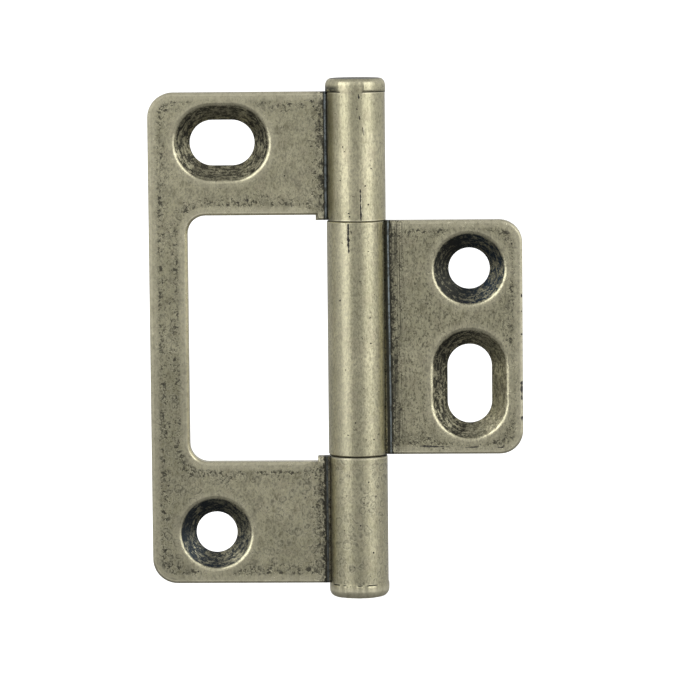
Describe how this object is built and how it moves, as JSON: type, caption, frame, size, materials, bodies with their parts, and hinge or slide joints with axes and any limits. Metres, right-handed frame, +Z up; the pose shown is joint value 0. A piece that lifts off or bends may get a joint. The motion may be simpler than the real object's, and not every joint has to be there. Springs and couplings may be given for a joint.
{
  "type": "bifold hinge",
  "caption": "Non-mortise bifold hinge in aged nickel-plated steel, opened flat: the small leaf folds into the window of the C-shaped leaf, on a pin in rolled knuckles with button tips.",
  "frame": {"origin": "on the flat back face of the large leaf, in the middle of its spine, at mid-height; the pin's axis is at x = 24.225 mm, y = -1 mm", "axes": "+Z up along the pin, +Y out of the leaves' flat mounting backs, +X from the large leaf towards the small leaf; the countersunk faces look to -Y"},
  "size_m": [0.048, 0.0078, 0.0668],
  "materials": {
    "aged_nickel": "satin",
    "pin_steel": "satin"
  },
  "bodies": {
    "large_side": {"large_leaf": "aged_nickel", "hinge_pin": "pin_steel", "top_tip": "aged_nickel", "bottom_tip": "aged_nickel"},
    "small_side": {"small_leaf": "aged_nickel"}
  },
  "joints": [
    {"name": "leaf_swing", "type": "hinge", "parent": "large_side", "child": "small_side", "pos_m": [0.02423, -0.001, 0], "axis": [0, 0, 1], "continuous": true}
  ]
}
